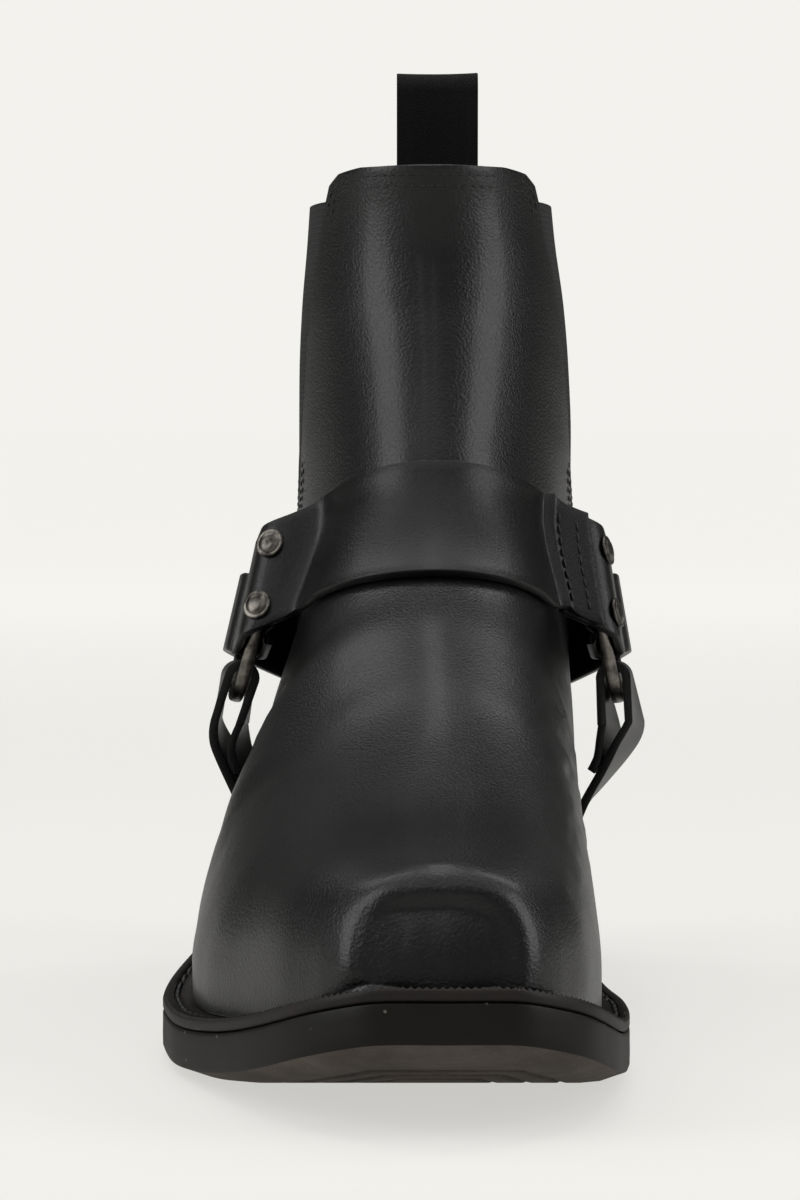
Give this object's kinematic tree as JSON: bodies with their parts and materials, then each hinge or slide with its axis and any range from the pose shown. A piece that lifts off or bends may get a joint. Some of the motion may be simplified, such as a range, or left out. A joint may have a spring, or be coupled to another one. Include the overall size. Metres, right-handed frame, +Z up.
{
  "type": "harness boot",
  "caption": "Square-toed pull-on ankle boot for the right foot, with elastic side gores and a ring-and-strap harness.",
  "frame": {"origin": "centre of the heel's bottom face, on the floor", "axes": "+Z up, -Y towards the toe, +X towards the inner (medial) side of this right boot"},
  "size_m": [0.1194, 0.3093, 0.2481],
  "materials": {
    "black_leather": "smooth black leather, semi-gloss",
    "elastic": "ribbed black elastic",
    "insole_board": "tan leather sock",
    "sole_rubber": "dark brown-black rubber",
    "heel_stack": "dark stacked heel",
    "heel_rubber": "black rubber lift",
    "strap_leather": "black strap leather, cut edges",
    "webbing": "black woven webbing",
    "antique_nickel": "antique nickel, dark in the hollows"
  },
  "bodies": {
    "root": {"upper": "black_leather", "gore_lateral": "elastic", "gore_medial": "elastic", "insole": "insole_board", "welt": "sole_rubber", "outsole": "sole_rubber", "heel": "heel_stack", "heel_lift": "heel_rubber", "pull_loop": "webbing", "instep_strap": "strap_leather", "ring_tab_medial": "strap_leather", "shank_strap_lateral": "strap_leather", "shank_strap_medial": "strap_leather", "heel_strap": "strap_leather", "ring_lateral": "antique_nickel", "ring_medial": "antique_nickel", "rivet_lateral_upper": "antique_nickel", "rivet_lateral_lower": "antique_nickel", "rivet_medial_upper": "antique_nickel", "rivet_medial_lower": "antique_nickel"}
  },
  "joints": []
}
